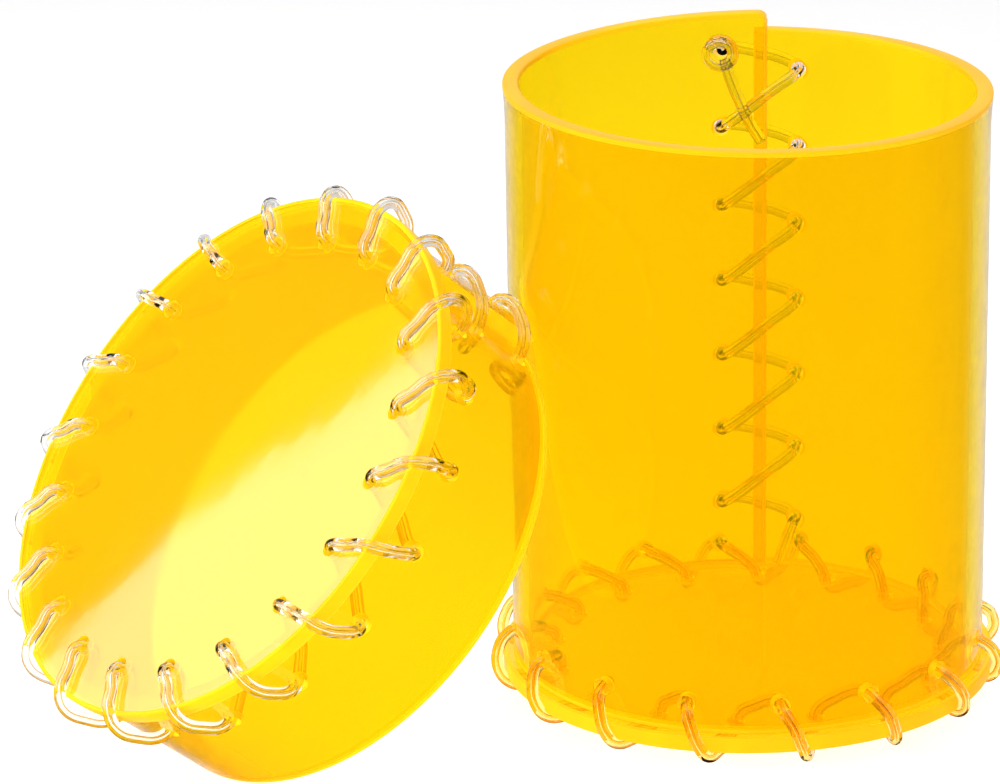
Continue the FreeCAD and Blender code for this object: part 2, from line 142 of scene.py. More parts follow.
def grow(name, tree, values, base=None, place=None):
    """Run a tree on an object, and keep the result as a plain mesh in its place."""
    carrier = base or bpy.data.objects.new(name + ".carrier", bpy.data.meshes.new(name))
    if base is None:
        bpy.context.scene.collection.objects.link(carrier)
    modifier = carrier.modifiers.new("grow", "NODES")
    modifier.node_group = tree
    for item in tree.interface.items_tree:
        if item.in_out == "INPUT" and item.name in values:
            modifier[item.identifier] = values[item.name]
    bpy.context.view_layer.update()
    graph = bpy.context.evaluated_depsgraph_get()
    mesh = bpy.data.meshes.new_from_object(carrier.evaluated_get(graph), depsgraph=graph)
    bpy.data.objects.remove(carrier)
    mesh.name = name
    if place is not None:
        mesh.transform(place)
    piece = bpy.data.objects.new(name, mesh)
    bpy.context.scene.collection.objects.link(piece)
    return piece


# ---------------------------------------------------------------- finishes


CLEAR = (1, 1, 1, 1)


def principled(name):
    material = bpy.data.materials.new(name)
    material.use_nodes = True
    tree = material.node_tree
    tree.nodes.clear()
    out = tree.nodes.new("ShaderNodeOutputMaterial")
    shader = tree.nodes.new("ShaderNodeBsdfPrincipled")
    return material, tree, out, shader


def noise(tree, scale, detail, stretch=(1, 1, 1)):
    """A noise pattern on the piece itself."""
    where = tree.nodes.new("ShaderNodeTexCoord").outputs["Object"]
    mapped = put(tree, "ShaderNodeMapping", where)
    mapped.inputs["Scale"].default_value = stretch
    pattern = put(tree, "ShaderNodeTexNoise", mapped.outputs[0])
    pattern.inputs["Scale"].default_value = scale
    pattern.inputs["Detail"].default_value = detail
    return pattern.outputs["Fac"]


def let_light_through(tree, out, shader):
    """Light reaches through the piece, so what is inside or behind it isn't in the dark."""
    ray = tree.nodes.new("ShaderNodeLightPath").outputs["Is Shadow Ray"]
    clear = tree.nodes.new("ShaderNodeBsdfTransparent")
    clear.inputs["Color"].default_value = CLEAR
    both = put(tree, "ShaderNodeMixShader", ray, shader.outputs[0], clear.outputs[0])
    tree.links.new(both.outputs[0], out.inputs["Surface"])


def sheet_finish(name, deep, pale, transmission, roughness, gloss, painted_glow=0.0, ior=1.48):
    """Soft translucent sheet: cloudy dye, a slight ripple and fine rub marks, and, where given, a
    painted glow: emission that stands for light carried inside the sheet to its cut edges.
    """
    material, tree, out, shader = principled(name)
    colour = put(tree, "ShaderNodeMix", data_type="RGBA")
    feed(tree, colour.inputs["Factor"], noise(tree, 22.0, 3.0))
    feed(tree, colour.inputs["A"], deep)
    feed(tree, colour.inputs["B"], pale)
    tree.links.new(colour.outputs["Result"], shader.inputs["Base Color"])
    rub = put(tree, "ShaderNodeMapRange", noise(tree, 90.0, 6.0))
    rub.inputs["To Min"].default_value = roughness
    rub.inputs["To Max"].default_value = roughness + 0.02
    tree.links.new(rub.outputs[0], shader.inputs["Roughness"])
    ripple = put(tree, "ShaderNodeBump")
    ripple.inputs["Strength"].default_value = 0.05
    ripple.inputs["Distance"].default_value = 0.6 * MM
    tree.links.new(noise(tree, 55.0, 2.0), ripple.inputs["Height"])
    marks = put(tree, "ShaderNodeBump")
    marks.inputs["Strength"].default_value = 0.008
    marks.inputs["Distance"].default_value = 0.05 * MM
    tree.links.new(noise(tree, 700.0, 3.0, (1, 1, 0.12)), marks.inputs["Height"])
    tree.links.new(ripple.outputs[0], marks.inputs["Normal"])
    tree.links.new(marks.outputs[0], shader.inputs["Normal"])
    shader.inputs["IOR"].default_value = ior
    shader.inputs["Specular Tint"].default_value = (1.0, 0.7, gloss, 1)
    shader.inputs["Transmission Weight"].default_value = transmission
    # painted light: an even glow in the sheet's deep colour, standing for light carried inside the
    # sheet to its cut edges
    if painted_glow:
        shader.inputs["Emission Color"].default_value = deep
        shader.inputs["Emission Strength"].default_value = painted_glow
    let_light_through(tree, out, shader)
    return material


def lace_finish(name, bright, dim):
    """Clear soft cord, faintly clouded along its length."""
    material, tree, out, shader = principled(name)
    colour = put(tree, "ShaderNodeMix", data_type="RGBA")
    feed(tree, colour.inputs["Factor"], noise(tree, 160.0, 2.0))
    feed(tree, colour.inputs["A"], bright)
    feed(tree, colour.inputs["B"], dim)
    tree.links.new(colour.outputs["Result"], shader.inputs["Base Color"])
    rub = put(tree, "ShaderNodeMapRange", noise(tree, 400.0, 4.0))
    rub.inputs["To Min"].default_value = 0.01
    rub.inputs["To Max"].default_value = 0.04
    tree.links.new(rub.outputs[0], shader.inputs["Roughness"])
    drawn = put(tree, "ShaderNodeBump")
    drawn.inputs["Strength"].default_value = 0.04
    drawn.inputs["Distance"].default_value = 0.1 * MM
    tree.links.new(noise(tree, 250.0, 2.0), drawn.inputs["Height"])
    tree.links.new(drawn.outputs[0], shader.inputs["Normal"])
    shader.inputs["IOR"].default_value = 1.5
    shader.inputs["Transmission Weight"].default_value = 1.0
    let_light_through(tree, out, shader)
    return material


SHEET_DEEP, SHEET_PALE = (0.93, 0.67, 0.004, 1), (0.95, 0.70, 0.007, 1)
cup_sheet = sheet_finish("cup_amber_sheet", SHEET_DEEP, SHEET_PALE, 0.88, 0.02, 0.0)
BASE_DEEP, BASE_PALE = (0.93, 0.55, 0.004, 1), (0.95, 0.59, 0.006, 1)
LID_DEEP, LID_PALE = (0.95, 0.60, 0.003, 1), (0.96, 0.63, 0.005, 1)
base_sheet = sheet_finish("base_amber_sheet", BASE_DEEP, BASE_PALE, 0.75, 0.04, 0.0)
lid_sheet = sheet_finish("lid_amber_sheet", LID_DEEP, LID_PALE, 0.75, 0.03, 0.0)
lid_disc_sheet = sheet_finish("lid_disc_amber_sheet", LID_DEEP, LID_PALE, 0.70, 0.035, 0.95)
# The cut edges carry a painted glow (0.22 on the cup, 0.10 on the lid): emission standing for light
# carried inside the sheet to its edges.
cup_edge = sheet_finish("cup_cut_edge", (0.99, 0.50, 0.006, 1), (1.0, 0.56, 0.01, 1),
                        0.25, 0.3, 0.0, 0.22, 1.2)
lid_edge = sheet_finish("lid_cut_edge", (0.97, 0.62, 0.005, 1), (0.98, 0.67, 0.008, 1),
                        0.25, 0.3, 0.0, 0.10, 1.2)
CUT_EDGES = {"cup": cup_edge, "lid": lid_edge}
clear_lace = lace_finish("clear_lace_cord", (0.95, 0.95, 0.94, 1), (0.90, 0.895, 0.88, 1))
# Painted light: the same clear cord as above, tinted amber for the yellow light that it gets from
# the sheets around the base.
base_lace = lace_finish("base_lace_cord", (0.98, 0.82, 0.32, 1), (0.96, 0.77, 0.26, 1))

# ---------------------------------------------------------------- sheet pieces


def sheet_object(name, points, faces, edge_faces, finish, edge):
    """A mesh object with the sheet's finish, and the cut edge's on its edges."""
    mesh = bpy.data.meshes.new(name)
    mesh.from_pydata(points, [], faces)
    mesh.materials.append(finish)
    mesh.materials.append(edge)
    for index in edge_faces:
        mesh.polygons[index].material_index = 1
    mesh.update()
    piece = bpy.data.objects.new(name, mesh)
    bpy.context.scene.collection.objects.link(piece)
    return piece


QUARTER_TURN = np.radians([0, 22.5, 45, 67.5, 90])
CORNER = len(QUARTER_TURN)


def section(low, high, half, rows):
    """Outline of the sheet's section, (offset, height), with rounded cut edges."""
    r = CUT_ROUND
    steps = QUARTER_TURN
    side = np.linspace(low + 2.5 * r, high - 2.5 * r, rows)
    outline = [(half, z) for z in side]
    outline += [(half - r + r * math.cos(a), high - r + r * math.sin(a)) for a in steps]
    outline += [(-half + r - r * math.sin(a), high - r + r * math.cos(a)) for a in steps]
    outline += [(-half, z) for z in side[::-1]]
    outline += [(-half + r - r * math.cos(a), low + r - r * math.sin(a)) for a in steps]
    outline += [(half - r + r * math.sin(a), low + r - r * math.cos(a)) for a in steps]
    return np.array(outline)


def strip_stations(piece):
    """The strip's middle line: (x, y, heading of its outer face, mouth height)."""
    radius, length, rise = piece["radius"], piece["length"], piece["rise"]
    main, flap = radius - SHEET / 2, radius - 1.5 * SHEET
    start = -90.0 - math.degrees(HALF_LAP / main)
    finish = 270.0 + math.degrees((HALF_LAP + SHEET) / flap)
    stations = []
    for angle in np.linspace(start, 180.0, 200):
        a = math.radians(angle)
        front = math.sin(a) > 0 or angle >= 180.0
        up = rise / 4 * (1 - math.cos(a)) if front else 0.0
        stations.append((main * math.cos(a), main * math.sin(a), a, length + up))
    tip = piece["tip"]
    tip_angles = finish - math.degrees(tip / flap) * np.linspace(1.0, 0.0, 9)[:-1]
    angles = np.linspace(180.0, finish, 76)
    if tip:
        angles = np.concatenate([angles[angles < tip_angles[0] - 0.3], tip_angles, [finish]])
    for angle in angles[1:]:
        a = math.radians(angle)
        x = -SHEET + flap * math.cos(a)
        short = min(tip, max(0.0, x - HALF_LAP + tip))
        dip = tip - math.sqrt(tip ** 2 - short ** 2)
        top = min(length + rise + rise / 2 * x / radius, length + rise)
        stations.append((x, flap * math.sin(a), a, top - dip))
    return stations


def sheet_ring(name, piece, finish, edge):
    """A strip of sheet rolled into a ring with its ends lapped."""
    base = SHEET + SEAT_GAP
    rows = max(8, round(piece["length"] / ROW_SPACING))
    stations = strip_stations(piece)
    insets = CUT_ROUND * (1 - np.sin(QUARTER_TURN))
    slides = CUT_ROUND * (1 - np.cos(QUARTER_TURN))

    def end_copy(station, slide, along):
        x, y, a, h = station
        return (x - math.sin(a) * slide * along, y + math.cos(a) * slide * along, a, h)

    rounded = [(end_copy(stations[0], s, 1), i) for s, i in zip(slides, insets)]
    rounded += [(s, 0.0) for s in stations[1:-1]]
    rounded += [(end_copy(stations[-1], s, -1), i) for s, i in zip(slides, insets)][::-1]

    points = []
    for (x, y, a, height), inset in rounded:
        outline = section(base, height, SHEET / 2, rows)
        offset = np.clip(outline[:, 0], -SHEET / 2 + inset, SHEET / 2 - inset)
        z = np.clip(outline[:, 1], base + inset, height - inset)
        near_rim = np.clip((z - height + FLARE_REACH) / FLARE_REACH, 0, 1)
        offset = offset + piece["flare"] * near_rim ** 2
        px, py = x + offset * math.cos(a), y + offset * math.sin(a)
        points += list(zip(px, py, -z))
    count = len(outline)
    faces, edges = [], []
    for i in range(len(rounded) - 1):
        for j in range(count):
            k = (j + 1) % count
            faces.append((i * count + j, i * count + k, (i + 1) * count + k, (i + 1) * count + j))
            flat_side = j < rows - 1 or rows + 2 * CORNER <= j < 2 * (rows + CORNER) - 1
            if not flat_side or i < CORNER - 1 or i >= len(rounded) - CORNER:
                edges.append(len(faces) - 1)
    faces.append(tuple(range(count))[::-1])
    edges.append(len(faces) - 1)
    last = (len(rounded) - 1) * count
    faces.append(tuple(range(last, last + count)))
    edges.append(len(faces) - 1)
    return sheet_object(name, points, faces, edges, finish, edge)


def sheet_disc(name, piece, finish, edge):
    """A round of sheet with a rounded edge, very slightly out of flat."""
    r, radius, turns, rings = CUT_ROUND, piece["disc"], 200, 12
    steps = QUARTER_TURN[::-1]
    inner = list(np.linspace(radius - 2.5 * r, 4 * MM, rings))
    profile = [(x, 0.0) for x in inner[::-1]]
    profile += [(radius - r + r * math.cos(a), -r + r * math.sin(a)) for a in steps]
    profile += [(radius - r + r * math.sin(a), -SHEET + r - r * math.cos(a)) for a in steps]
    profile += [(x, -SHEET) for x in inner]
    points, faces, edges = [], [], []
    for x, z in profile:
        for t in np.linspace(0, 2 * math.pi, turns, endpoint=False):
            wave = 0.12 * MM * (x / radius) ** 2 * math.sin(3 * t + 0.7)
            points.append((x * math.cos(t), x * math.sin(t), z + wave))
    for i in range(len(profile) - 1):
        for j in range(turns):
            k = (j + 1) % turns
            faces.append((i * turns + j, (i + 1) * turns + j, (i + 1) * turns + k, i * turns + k))
            if rings - 1 <= i < rings - 1 + 2 * CORNER + 1:
                edges.append(len(faces) - 1)
    faces.append(tuple(range(turns)))
    last = (len(profile) - 1) * turns
    faces.append(tuple(range(last, last + turns))[::-1])
    return sheet_object(name, points, faces, edges, finish, edge)


def punch_tree():
    """Punches a round hole with a slightly broken edge at every point of a second object."""
    tree, given = new_tree("lace_holes", [
        ("Sheet", "Geometry"), ("Places", "Object"), ("Eyelet", "Float"), ("Thickness", "Float"),
        ("Broken edge", "Float"), ("Cut finish", "Material")])
    places = put(tree, "GeometryNodeObjectInfo", given["Places"]).outputs["Geometry"]
    radius = sum_of(tree, "DIVIDE", given["Eyelet"], 2.0)
    shaft = put(tree, "GeometryNodeMeshCylinder")
    shaft.inputs["Vertices"].default_value = 28
    feed(tree, shaft.inputs["Radius"], radius)
    feed(tree, shaft.inputs["Depth"], sum_of(tree, "MULTIPLY", given["Thickness"], 1.6))
    shapes = [shaft.outputs["Mesh"]]
    for side in (1, -1):
        flare = put(tree, "GeometryNodeMeshCone")
        flare.inputs["Vertices"].default_value = 28
        reach = sum_of(tree, "MULTIPLY", given["Broken edge"], 2.0)
        far = sum_of(tree, "ADD", radius, reach)
        feed(tree, flare.inputs["Radius Top"], far if side > 0 else radius)
        feed(tree, flare.inputs["Radius Bottom"], radius if side > 0 else far)
        feed(tree, flare.inputs["Depth"], reach)
        half = sum_of(tree, "DIVIDE", given["Thickness"], 2.0)
        inwards = sum_of(tree, "SUBTRACT", half, given["Broken edge"])
        low = inwards if side > 0 else sum_of(
            tree, "MULTIPLY", sum_of(tree, "ADD", half, given["Broken edge"]), -1.0)
        shift = put(tree, "ShaderNodeCombineXYZ", 0.0, 0.0, low).outputs[0]
        moved = put(tree, "GeometryNodeTransform", flare.outputs["Mesh"])
        feed(tree, moved.inputs["Translation"], shift)
        shapes.append(moved.outputs[0])
    merged = put(tree, "GeometryNodeMeshBoolean", operation="UNION", solver="EXACT")
    for shape in shapes:
        tree.links.new(shape, merged.inputs["Mesh 2"])
    punch = put(tree, "GeometryNodeSetMaterial", merged.outputs[0])
    feed(tree, punch.inputs["Material"], given["Cut finish"])
    normal = tree.nodes.new("GeometryNodeInputNamedAttribute")
    normal.data_type = "FLOAT_VECTOR"
    normal.inputs["Name"].default_value = "facing"
    aim = put(tree, "FunctionNodeAlignEulerToVector", axis="Z")
    feed(tree, aim.inputs["Vector"], normal.outputs[0])
    copies = put(tree, "GeometryNodeInstanceOnPoints", places)
    feed(tree, copies.inputs["Instance"], punch.outputs[0])
    feed(tree, copies.inputs["Rotation"], aim.outputs[0])
    solid = put(tree, "GeometryNodeRealizeInstances", copies.outputs[0])
    cut = put(tree, "GeometryNodeMeshBoolean", operation="DIFFERENCE", solver="EXACT")
    feed(tree, cut.inputs["Mesh 1"], given["Sheet"])
    tree.links.new(solid.outputs[0], cut.inputs["Mesh 2"])
    smooth = put(tree, "GeometryNodeSetShadeSmooth", cut.outputs[0])
    crease = put(tree, "FunctionNodeCompare", data_type="FLOAT", operation="GREATER_THAN")
    fold = tree.nodes.new("GeometryNodeInputMeshEdgeAngle").outputs["Unsigned Angle"]
    feed(tree, crease.inputs[0], fold)
    crease.inputs[1].default_value = math.radians(34)
    sharp = put(tree, "GeometryNodeSetShadeSmooth", smooth.outputs[0], domain="EDGE")
    feed(tree, sharp.inputs["Selection"], crease.outputs[0])
    sharp.inputs["Shade Smooth"].default_value = False
    put(tree, "NodeGroupOutput", sharp.outputs[0])
    return tree


LACE_HOLES = punch_tree()


def hole_places(name, spots):
    """A mesh of points with the direction that each hole faces."""
    mesh = bpy.data.meshes.new(name)
    mesh.from_pydata([spot for spot, _ in spots], [], [])
    facing = mesh.attributes.new("facing", "FLOAT_VECTOR", "POINT")
    facing.data.foreach_set("vector", [value for _, way in spots for value in way])
    places = bpy.data.objects.new(name, mesh)
    bpy.context.scene.collection.objects.link(places)
    return places


def punched(sheet, spots, place, edge):
    """The sheet with its lace holes, set in its place."""
    name = sheet.name
    sheet.name = name + ".blank"
    places = hole_places(name + ".holes", spots)
    piece = grow(name, LACE_HOLES, {
        "Places": places, "Eyelet": EYELET, "Thickness": SHEET, "Broken edge": BROKEN_EDGE,
        "Cut finish": edge}, base=sheet, place=place)
    bpy.data.objects.remove(places)
    return piece


def around(radius, degrees, height):
    a = math.radians(degrees)
    return Vector((radius * math.cos(a), radius * math.sin(a), height))


def disc_hole_angle(piece, index):
    return piece["first"] + index * 360.0 / piece["stitches"]


def ring_hole_angle(piece, index):
    return disc_hole_angle(piece, index) + 180.0 / piece["stitches"]


def drawn_in(piece, angle):
    """How far the ring's outer face lies inside its full radius, along the flap."""
    local = (angle - piece["seam"]) % 360.0
    if not 180.0 < local < 270.0:
        return 0.0
    side = SHEET * math.sin(math.radians(local))
    reach = math.sqrt((piece["radius"] - SHEET) ** 2 - side ** 2)
    return piece["radius"] - reach + SHEET * math.cos(math.radians(local))


def disc_hole_spots(piece):
    spots = []
    for index in range(piece["stitches"]):
        angle = disc_hole_angle(piece, index)
        spots.append((around(piece["circle"], angle, -SHEET / 2), (0, 0, 1)))
    return spots


def ring_hole_spots(piece):
    """Holes beside the disc, and the two columns beside the seam, in the seam's own turn."""
    spots = []
    for index in range(piece["stitches"]):
        angle = ring_hole_angle(piece, index)
        face = piece["radius"] - drawn_in(piece, angle)
        local = angle - piece["seam"]
        spots.append((around(face - SHEET / 2, local, -piece["depth"]), around(1.0, local, 0.0)))
    left, right = seam_faces(piece)
    for row in range(piece["rows"]):
        height = -piece["seam_first"] + row * piece["pitch"]
        spots.append((Vector((-COLUMN, -(left - SHEET / 2), height)), (0, -1, 0)))
        spots.append((Vector((COLUMN, -(right - SHEET / 2), height + piece["drop"])), (0, -1, 0)))
    return spots


def seam_faces(piece):
    """Distance of the outer face from the middle at the two columns of seam holes."""
    left = math.sqrt((piece["radius"] - SHEET) ** 2 - (SHEET - COLUMN) ** 2)
    right = math.sqrt(piece["radius"] ** 2 - COLUMN ** 2)
    return left, right


# ---------------------------------------------------------------- laces

CORE_SHARE = 0.11           # radius of the fine hollow core, as a share of the lace's diameter


def lace_from_points(tree, given, points, cyclic):
    """Points become one smooth round lace."""
    line = put(tree, "GeometryNodeMeshToCurve", points).outputs[0]
    if cyclic:
        closed = put(tree, "GeometryNodeSetSplineCyclic", line)
        closed.inputs["Cyclic"].default_value = True
        line = closed.outputs[0]
    line = put(tree, "GeometryNodeCurveSplineType", line, spline_type="BEZIER").outputs[0]
    line = put(tree, "GeometryNodeCurveSetHandles", line, handle_type="AUTO").outputs[0]
    fine = put(tree, "GeometryNodeSetSplineResolution", line)
    fine.inputs["Resolution"].default_value = 9
    girth = tree.nodes.new("GeometryNodeCurvePrimitiveCircle")
    girth.inputs["Resolution"].default_value = 16
    feed(tree, girth.inputs["Radius"], sum_of(tree, "DIVIDE", given["Lace"], 2.0))
    tube = put(tree, "GeometryNodeCurveToMesh", fine.outputs[0], girth.outputs["Curve"])
    tube.inputs["Fill Caps"].default_value = not cyclic
    bore = tree.nodes.new("GeometryNodeCurvePrimitiveCircle")
    bore.inputs["Resolution"].default_value = 10
    feed(tree, bore.inputs["Radius"], sum_of(tree, "MULTIPLY", given["Lace"], CORE_SHARE))
    core = put(tree, "GeometryNodeCurveToMesh", fine.outputs[0], bore.outputs["Curve"])
    core.inputs["Fill Caps"].default_value = not cyclic
    core = put(tree, "GeometryNodeFlipFaces", core.outputs[0])
    both = tree.nodes.new("GeometryNodeJoinGeometry")
    for shape in (tube, core):
        tree.links.new(shape.outputs[0], both.inputs[0])
    solid = put(tree, "GeometryNodeRealizeInstances", both.outputs[0]).outputs[0]
    solid = put(tree, "GeometryNodeSetShadeSmooth", solid).outputs[0]
    dressed = put(tree, "GeometryNodeSetMaterial", solid)
    feed(tree, dressed.inputs["Material"], given["Finish"])
    put(tree, "NodeGroupOutput", dressed.outputs[0])


def pick(tree, index, choices, kind):
    """One of the choices, by index."""
    switch = tree.nodes.new("GeometryNodeIndexSwitch")
    switch.data_type = kind
    while len(switch.index_switch_items) < len(choices):
        switch.index_switch_items.new()
    feed(tree, switch.inputs[0], index)
    for spot, choice in enumerate(choices):
        feed(tree, switch.inputs[spot + 1], choice)
    return switch.outputs[0]


def repeats_and_corner(tree, count):
    """Which stitch and which of its corners a point is."""
    index = tree.nodes.new("GeometryNodeInputIndex").outputs[0]
    stitch = sum_of(tree, "FLOOR", sum_of(tree, "DIVIDE", index, float(count)))
    corner = sum_of(tree, "SUBTRACT", index, sum_of(tree, "MULTIPLY", stitch, float(count)))
    return index, stitch, corner


def chain(tree, repeats, count, position):
    """A chain of points at the given positions."""
    total = sum_of(tree, "MULTIPLY", repeats, float(count))
    row = tree.nodes.new("GeometryNodeMeshLine")
    feed(tree, row.inputs["Count"], total)
    placed = put(tree, "GeometryNodeSetPosition", row.outputs[0])
    feed(tree, placed.inputs["Position"], position)
    return placed.outputs[0]


def slack(tree, given, stitch, corner, loose):
    """A small shift of a stitch's free corners, the same for all of one stitch."""
    roll = tree.nodes.new("FunctionNodeRandomValue")
    roll.data_type = "FLOAT_VECTOR"
    roll.inputs["Min"].default_value = (-1, -1, -1)
    roll.inputs["Max"].default_value = (1, 1, 1)
    feed(tree, roll.inputs["ID"], stitch)
    feed(tree, roll.inputs["Seed"], given["Seed"])
    share = sum_of(tree, "MULTIPLY", given["Slack"], pick(tree, corner, loose, "FLOAT"))
    return put(tree, "ShaderNodeVectorMath", roll.outputs[0], None, None, share, operation="SCALE")


def whip_tree(corners):
    """A lace whipped round a disc. A corner is (radius, share of a pitch, height)."""
    labels = ["Corner %d" % (i + 1) for i in range(corners)]
    tree, given = new_tree("whip_stitched_lace", [
        ("Stitches", "Int"), ("First hole", "Float"), ("Lace", "Float"), ("Flap start", "Float"),
        ("Draw in", "Float"), ("Inner face", "Float"), ("Hole row", "Float"),
        ("Slack", "Float"), ("Seed", "Int"), ("Finish", "Material"),
        *((label, "Vector") for label in labels)])
    _, stitch, corner = repeats_and_corner(tree, corners)
    spot = pick(tree, corner, [given[label] for label in labels], "VECTOR")
    radius, share, height = put(tree, "ShaderNodeSeparateXYZ", spot).outputs
    pitch = sum_of(tree, "DIVIDE", 2 * math.pi, given["Stitches"])
    turned = sum_of(tree, "MULTIPLY", sum_of(tree, "ADD", stitch, share), pitch)
    angle = sum_of(tree, "ADD", given["First hole"], turned)
    local = sum_of(tree, "FLOORED_MODULO",
                   sum_of(tree, "SUBTRACT", angle, given["Flap start"]), 2 * math.pi)
    on_flap = sum_of(tree, "LESS_THAN", local, math.pi / 2)
    sunk = sum_of(tree, "SUBTRACT", 1.0, sum_of(tree, "COSINE", local))
    beside = put(tree, "ShaderNodeMapRange", height, given["Inner face"], given["Hole row"])
    beside.inputs["To Min"].default_value = 0.0
    beside.inputs["To Max"].default_value = 1.0
    amount = sum_of(tree, "MULTIPLY", sum_of(tree, "MULTIPLY", sunk, on_flap),
                    sum_of(tree, "MULTIPLY", given["Draw in"], beside.outputs[0]))
    radius = sum_of(tree, "SUBTRACT", radius, amount)
    x = sum_of(tree, "MULTIPLY", radius, sum_of(tree, "COSINE", angle))
    y = sum_of(tree, "MULTIPLY", radius, sum_of(tree, "SINE", angle))
    drawn = put(tree, "ShaderNodeCombineXYZ", x, y, height).outputs[0]
    shift = slack(tree, given, stitch, corner, WHIP_LOOSE)
    position = put(tree, "ShaderNodeVectorMath", drawn, shift.outputs[0], operation="ADD")
    points = chain(tree, given["Stitches"], corners, position.outputs[0])
    lace_from_points(tree, given, points, True)
    return tree


def whip_corners(piece):
    """One whip stitch, from a disc hole, over the edge and in at the ring, to the next hole."""
    circle, edge, depth = piece["circle"], piece["disc"], piece["depth"]
    face = piece["radius"]
    inside = face - SHEET
    over = edge - circle
    return [
        (circle, 0.0, -SHEET / 2),
        (circle + 0.12 * over, 0.03, 0.66 * LIFT),
        (circle + 0.52 * over, 0.15, LACE / 2 - 0.08 * MM),
        (circle + 0.94 * over, 0.25, 0.72 * LIFT),
        (edge + piece["stand"] * LIFT, 0.32, -0.50 * SHEET),
        (edge + 0.8 * piece["stand"] * LIFT, 0.40, -0.45 * (depth + SHEET)),
        (face + 0.95 * LIFT, 0.47, -depth + 1.1 * MM),
        (face - SHEET / 2, 0.50, -depth),
        (inside - 0.9 * LIFT, 0.55, -depth + 0.1 * MM),
        (inside - 0.5 * (inside - circle) - 0.7 * LIFT, 0.78, -0.5 * (depth + SHEET) - 0.6 * LIFT),
        (circle - 0.1 * LIFT, 0.965, -SHEET - 0.8 * LIFT),
    ]


WHIP_LOOSE = [0.0, 0.1, 0.0, 0.1, 0.6, 0.9, 0.3, 0.0, 0.3, 0.8, 0.2]


def whip_lace(name, piece, place, seed, finish):
    """The lace that ties a ring to its disc."""
    corners = whip_corners(piece)
    values = {
        "Stitches": piece["stitches"], "First hole": math.radians(piece["first"]),
        "Lace": LACE, "Flap start": math.radians(piece["seam"] + 180.0), "Draw in": SHEET,
        "Inner face": -SHEET, "Hole row": -piece["depth"], "Slack": RIM_SLACK, "Seed": seed,
        "Finish": finish}
    for index, corner in enumerate(corners):
        values["Corner %d" % (index + 1)] = corner
    return grow(name, WHIP_STITCHES, values, place=place)


WHIP_STITCHES = whip_tree(11)


def zigzag_tree(corners):
    """A lace that zigzags down a seam. The last point of all is the lace's own end."""
    labels = ["Corner %d" % (i + 1) for i in range(corners)]
    tree, given = new_tree("seam_zigzag_lace", [
        ("Rows", "Int"), ("Pitch", "Float"), ("Lace", "Float"), ("Slack", "Float"),
        ("Seed", "Int"), ("End", "Vector"), ("Finish", "Material"),
        *((label, "Vector") for label in labels)])
    index, row, corner = repeats_and_corner(tree, corners)
    spot = pick(tree, corner, [given[label] for label in labels], "VECTOR")
    along = put(tree, "ShaderNodeCombineXYZ", 0.0, 0.0,
                sum_of(tree, "MULTIPLY", row, given["Pitch"])).outputs[0]
    drawn = put(tree, "ShaderNodeVectorMath", spot, along, operation="ADD").outputs[0]
    shift = slack(tree, given, row, corner, ZIGZAG_LOOSE)
    shifted = put(tree, "ShaderNodeVectorMath", drawn, shift.outputs[0], operation="ADD").outputs[0]
    final = sum_of(tree, "SUBTRACT", sum_of(tree, "MULTIPLY", given["Rows"], float(corners)), 1.5)
    last = sum_of(tree, "GREATER_THAN", index, final)
    ended = put(tree, "ShaderNodeMix", data_type="VECTOR")
    feed(tree, ended.inputs["Factor"], last)
    feed(tree, ended.inputs[4], shifted)
    feed(tree, ended.inputs[5], given["End"])
    points = chain(tree, given["Rows"], corners, ended.outputs[1])
    lace_from_points(tree, given, points, False)
    return tree


ZIGZAG_LOOSE = [0.3, 0.0, 0.3, 1.0, 0.3, 0.0, 0.3, 0.6]


def zigzag_corners(piece):
    """One row: out at the flap's hole, over the lap, in at the other hole, and inside."""
    left, right = seam_faces(piece)
    step = HALF_LAP + LACE / 2
    height, drop = -piece["seam_first"], piece["drop"]
    run = piece["pitch"] - drop
    flap = piece["radius"] - SHEET
    return [
        (-COLUMN + 0.4 * MM, -(left - SHEET - LIFT), height - 0.5 * MM),
        (-COLUMN, -(left - SHEET / 2), height),
        (-COLUMN + 0.9 * MM, -(left + 0.95 * LIFT), height + 0.07 * drop),
        (-step + 1.0 * MM, -(piece["radius"] + LIFT), height + 0.42 * drop),
        (COLUMN - 0.9 * MM, -(right + 0.95 * LIFT), height + 0.93 * drop),
        (COLUMN, -(right - SHEET / 2), height + drop),
        (COLUMN - 0.6 * MM, -(right - SHEET - 0.95 * LIFT), height + drop + 0.5 * MM),
        (step, -(flap - SHEET - LIFT), height + drop + 0.30 * run),
    ]


ZIGZAG = zigzag_tree(8)


def seam_lace(name, piece, place, end, seed):
    """The lace that closes a seam."""
    values = {
        "Rows": piece["rows"], "Pitch": piece["pitch"], "Lace": LACE, "Slack": SEAM_SLACK,
        "Seed": seed, "End": end, "Finish": clear_lace}
    for index, corner in enumerate(zigzag_corners(piece)):
        values["Corner %d" % (index + 1)] = corner
    return grow(name, ZIGZAG, values, place=place @ seam_turn(piece))


def free_tube_tree():
    """A smooth round tube along an object's own chain of points."""
    tree, given = new_tree("lace_tube", [
        ("Line", "Geometry"), ("Lace", "Float"), ("Finish", "Material")])
    lace_from_points(tree, given, given["Line"], False)
    return tree


LACE_TUBE = free_tube_tree()


def lace_along(name, points, place):
    """A length of lace through a few points."""
    mesh = bpy.data.meshes.new(name)
    mesh.from_pydata(points, [(i, i + 1) for i in range(len(points) - 1)], [])
    line = bpy.data.objects.new(name + ".line", mesh)
    bpy.context.scene.collection.objects.link(line)
    return grow(name, LACE_TUBE, {"Lace": LACE, "Finish": clear_lace}, base=line, place=place)


